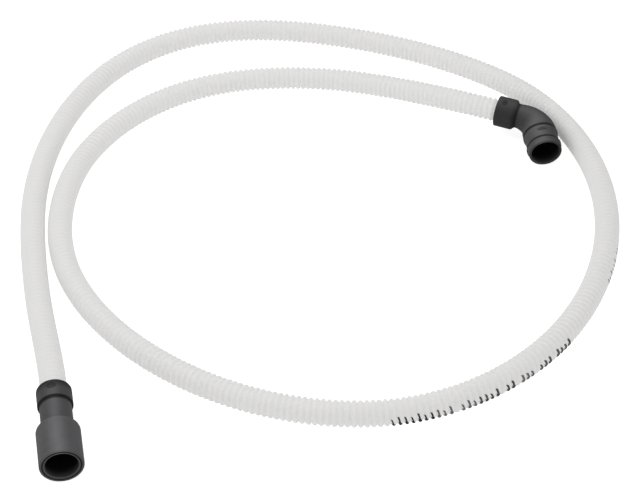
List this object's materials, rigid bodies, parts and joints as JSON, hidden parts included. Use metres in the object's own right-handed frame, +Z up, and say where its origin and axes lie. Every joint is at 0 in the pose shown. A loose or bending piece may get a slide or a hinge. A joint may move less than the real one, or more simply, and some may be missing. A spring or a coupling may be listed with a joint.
{
  "type": "dishwasher drain hose",
  "caption": "Corrugated flexible drain hose lying in an open loop, with a stepped straight rubber cuff on one end and a ringed elbow cuff on the other.",
  "frame": {"origin": "on the floor that the hose lies on, at the middle of the box round the two cuffs", "axes": "+Z up; the straight cuff lies along Y with its mouth facing -Y; the elbow cuff is on the +X side; the hose's loop reaches furthest towards +Y"},
  "size_m": [0.5206, 0.5645, 0.0359],
  "materials": {
    "translucent_polypropylene": "natural translucent plastic, satin, with fine corrugations",
    "straight_cuff_rubber": "moulded black rubber, satin",
    "elbow_cuff_rubber": "moulded black rubber, satin"
  },
  "bodies": {
    "root": {"corrugated_hose": "translucent_polypropylene", "straight_cuff": "straight_cuff_rubber", "elbow_cuff": "elbow_cuff_rubber"}
  },
  "joints": []
}
